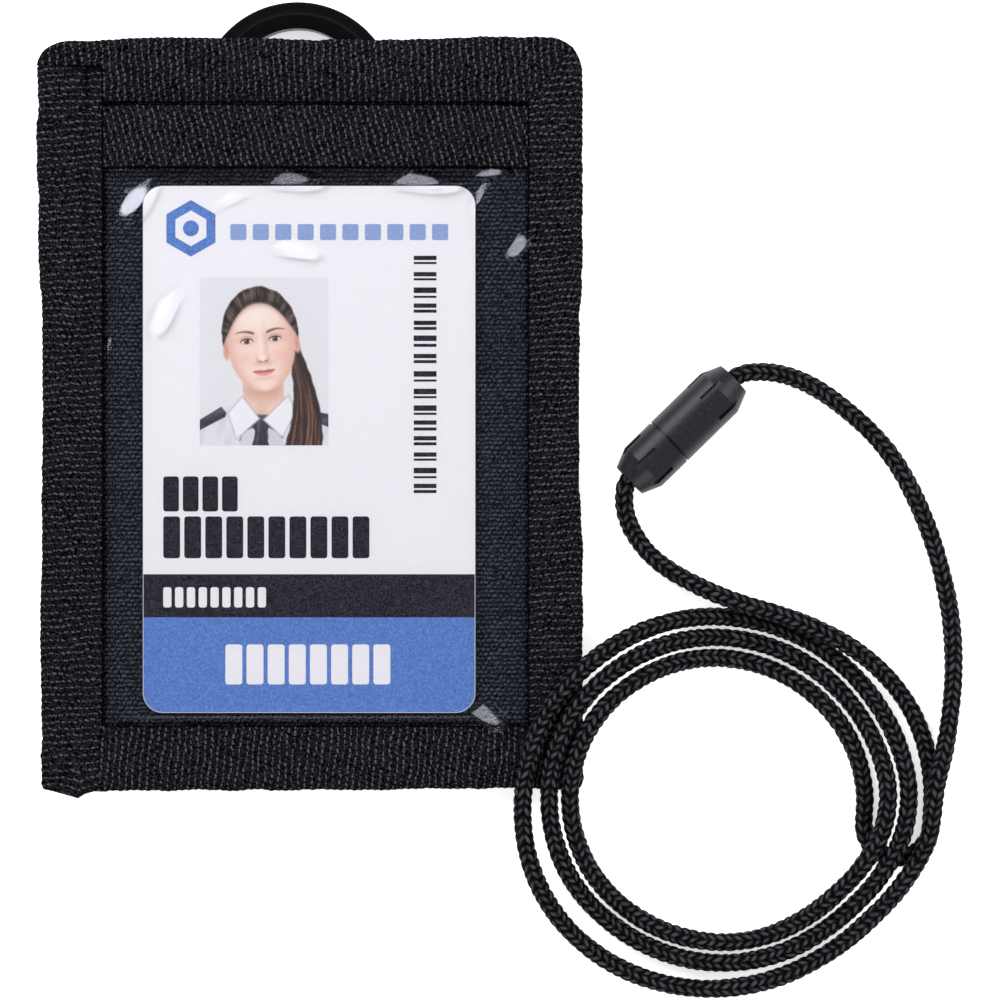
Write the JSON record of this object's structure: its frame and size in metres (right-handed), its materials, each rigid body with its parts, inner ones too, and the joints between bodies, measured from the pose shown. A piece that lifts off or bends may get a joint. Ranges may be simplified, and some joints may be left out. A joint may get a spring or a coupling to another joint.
{
  "type": "id badge wallet",
  "caption": "Flat cloth badge wallet with a clear card pocket, a rear pocket, a hanging ring and a loose cord lanyard with a breakaway clasp.",
  "frame": {"origin": "on the resting surface, under the middle of the wallet and its ring, without the loose lanyard", "axes": "+Z out of the wallet's front, +Y towards its top edge with the ring, +X to the right as the card is read"},
  "size_m": [0.1505, 0.1628, 0.0087],
  "materials": {
    "navy_cloth": "coarse basket-weave nylon, matte",
    "black_cloth": "plain-weave nylon, matte",
    "black_tape": "woven binding tape with a low sheen",
    "black_webbing": "flat woven webbing",
    "clear_film": "soft clear vinyl, glossy",
    "card_print": "printed card under a satin laminate",
    "black_plastic": "moulded plastic, satin",
    "grey_plastic": "moulded plastic, fine matte texture",
    "black_cord": "round braided polyester cord"
  },
  "bodies": {
    "wallet": {"front_panel": "navy_cloth", "back_panel": "black_cloth", "top_binding": "black_tape", "left_binding": "black_tape", "right_binding": "black_tape", "bottom_binding": "black_tape", "clear_window": "clear_film", "window_header": "black_tape", "rear_pocket_panel": "black_cloth", "rear_pocket_hem": "black_tape", "ring_tab": "black_webbing", "clasp_socket": "grey_plastic", "cord_knot_upper": "black_cord", "lanyard_lead_upper": "black_cord", "lanyard_coil": "black_cord", "lanyard_lead_lower": "black_cord"},
    "card": {"id_card": "card_print"},
    "ring": {"d_ring": "black_plastic"},
    "plug": {"clasp_plug": "grey_plastic", "cord_knot_lower": "black_cord"}
  },
  "joints": [
    {"name": "card_slide", "type": "slide", "parent": "wallet", "child": "card", "axis": [0, 1, 0], "range_m": [0, 0.08]},
    {"name": "ring_swing", "type": "hinge", "parent": "wallet", "child": "ring", "pos_m": [-0.0025, 0.04605, 0.0017], "axis": [-1, 0, 0], "range_deg": [0, 160]},
    {"name": "clasp_release", "type": "slide", "parent": "wallet", "child": "plug", "axis": [-0.7157, -0.6984, 0], "range_m": [0, 0.005], "deforming": ["lanyard_lead_lower"]}
  ]
}
